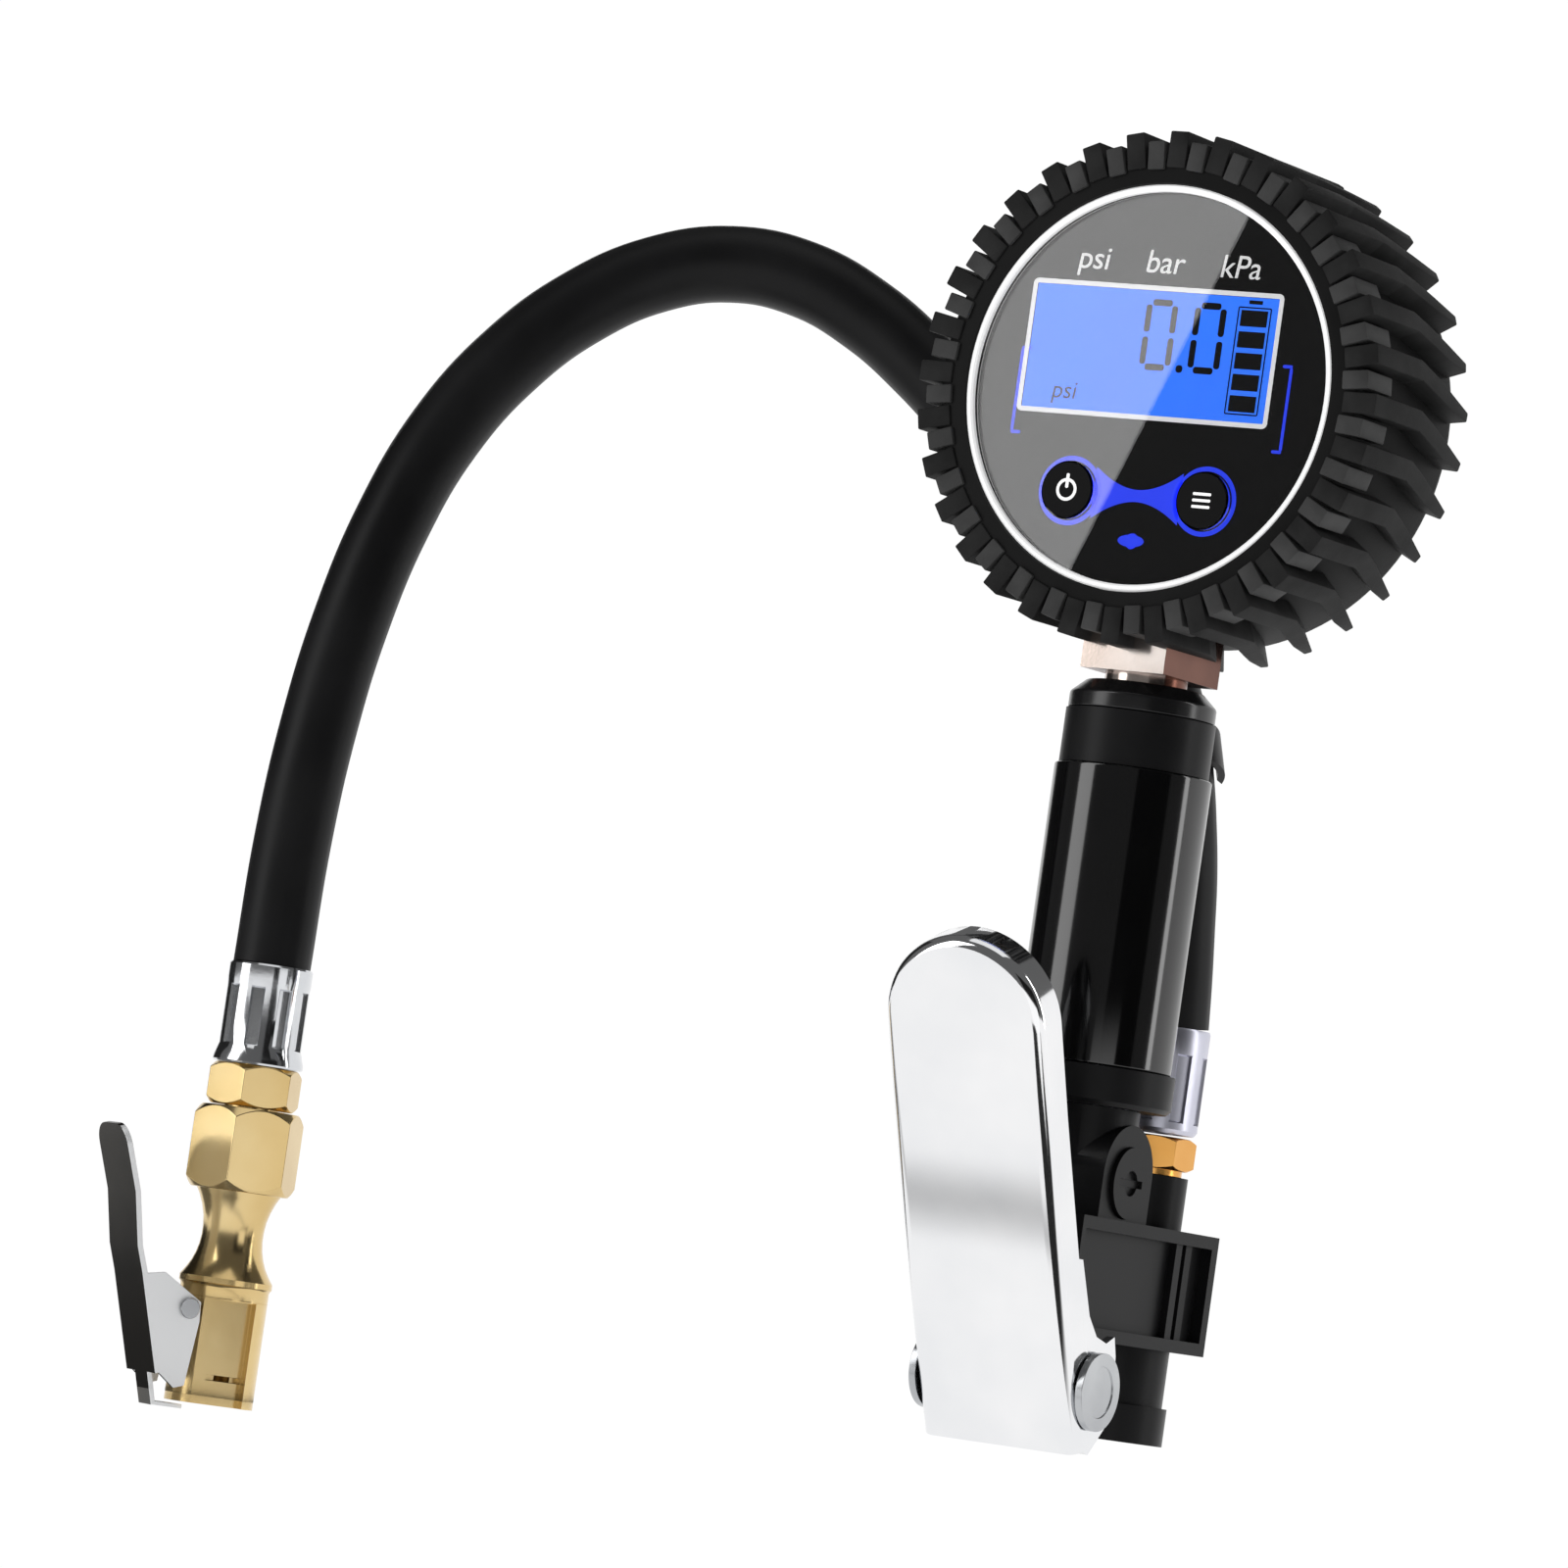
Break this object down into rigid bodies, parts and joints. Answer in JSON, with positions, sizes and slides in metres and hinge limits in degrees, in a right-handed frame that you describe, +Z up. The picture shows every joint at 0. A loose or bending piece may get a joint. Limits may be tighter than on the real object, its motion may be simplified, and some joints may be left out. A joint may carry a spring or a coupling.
{
  "type": "tire inflator gun with digital gauge",
  "caption": "Hand-held tire inflator gun: digital gauge in a tread-ribbed boot, round grip, trigger lever, short rubber hose and lock-on chuck.",
  "frame": {"origin": "centre of the air inlet's mouth at the foot of the valve body", "axes": "+Z up along the inlet and the grip, -Y the way the dial and the trigger face, +X to the dial's right as it is read"},
  "size_m": [0.1962, 0.0878, 0.2197],
  "materials": {
    "body_plastic": "fine moulded texture, black",
    "grip_plastic": "polished black",
    "boot_rubber": "moulded, matt black",
    "seal_rubber": "moulded, black",
    "hose_rubber": "extruded, satin black",
    "chrome_lever": "polished chrome plate",
    "steel": "turned and zinc plated",
    "plated_steel": "pressed and nickel plated",
    "spring_steel": "drawn wire",
    "brass": "turned, bright",
    "nickel": "copper-tinted nickel plate",
    "aluminium": "drawn and crimped",
    "bright_ferrule": "drawn, crimped and polished",
    "case_plastic": "moulded, black",
    "white_ring": "moulded, white",
    "lens": "clear, polished",
    "dial_black": "printed, gloss black",
    "lcd": "blue, lit from behind",
    "backlight": "light guide, milky",
    "board": "green solder mask",
    "switch_plastic": "moulded",
    "key_plastic": "moulded, gloss black",
    "led": "blue, diffused",
    "cell": "plain blue sleeve"
  },
  "bodies": {
    "handle": {"valve_body": "body_plastic", "inlet_insert": "brass", "inlet_screen": "steel", "side_plugs": "body_plastic", "rear_plug": "brass", "valve_gland": "brass", "gland_seal": "seal_rubber", "valve_spring": "spring_steel", "lever_pin": "steel", "core_tube": "aluminium", "bottom_collar": "body_plastic", "grip_sleeve": "grip_plastic", "top_collar": "body_plastic", "cap_nut": "grip_plastic", "gauge_adapter": "nickel", "adapter_seal": "seal_rubber", "gauge_case": "case_plastic", "gauge_boot": "boot_rubber", "bezel_ring": "white_ring", "dial_lens": "lens", "dial_plate": "dial_black", "lcd_panel": "lcd", "backlight_panel": "backlight", "circuit_board": "board", "tact_switches": "switch_plastic", "status_led": "led", "pressure_sensor": "steel", "battery_tray": "case_plastic", "battery_cells": "cell", "battery_contacts": "spring_steel", "battery_door": "case_plastic", "door_screws": "steel", "hose_nipple": "brass", "near_ferrule": "aluminium", "hose": "hose_rubber", "far_ferrule": "bright_ferrule", "far_nipple": "brass", "chuck_body": "brass", "chuck_seal": "seal_rubber", "chuck_pin": "steel", "chuck_clip_spring": "spring_steel", "core_spring": "spring_steel"},
    "trigger": {"lever": "chrome_lever"},
    "plunger": {"valve_plunger": "brass", "plunger_seal": "seal_rubber"},
    "power_button": {"power_key": "key_plastic"},
    "unit_button": {"unit_key": "key_plastic"},
    "chuck_clip": {"chuck_lever": "plated_steel"},
    "chuck_depressor": {"chuck_core": "brass"}
  },
  "joints": [
    {"name": "trigger_hinge", "type": "hinge", "parent": "handle", "child": "trigger", "pos_m": [0, -0.031, 0.0072], "axis": [-1, 0, 0], "range_deg": [0, 14], "stiffness_Nm_per_rad": 0.25, "springref_deg": -17.19},
    {"name": "plunger_slide", "type": "slide", "parent": "handle", "child": "plunger", "axis": [0, 1, 0], "range_m": [0, 0.0053], "stiffness_N_per_m": 300, "springref_m": -0.001, "deforming": ["valve_spring"]},
    {"name": "power_button_press", "type": "slide", "parent": "handle", "child": "power_button", "axis": [0, 1, 0], "range_m": [0, 0.00045], "stiffness_N_per_m": 1500, "springref_m": -0.0001},
    {"name": "unit_button_press", "type": "slide", "parent": "handle", "child": "unit_button", "axis": [0, 1, 0], "range_m": [0, 0.00045], "stiffness_N_per_m": 1500, "springref_m": -0.0001},
    {"name": "chuck_clip_hinge", "type": "hinge", "parent": "handle", "child": "chuck_clip", "pos_m": [-0.1424, -0.05304, 0], "axis": [-0.848, 0.5299, 0], "range_deg": [0, 14], "stiffness_Nm_per_rad": 0.05, "springref_deg": -11.46, "deforming": ["chuck_clip_spring"]},
    {"name": "chuck_depressor_slide", "type": "slide", "parent": "handle", "child": "chuck_depressor", "axis": [0, 0, 1], "range_m": [0, 0.0012], "stiffness_N_per_m": 400, "springref_m": -0.001, "deforming": ["core_spring"]}
  ],
  "couplings": [
    {"joint": "plunger_slide", "follows": "trigger_hinge", "m_per_rad": 0.0215}
  ]
}
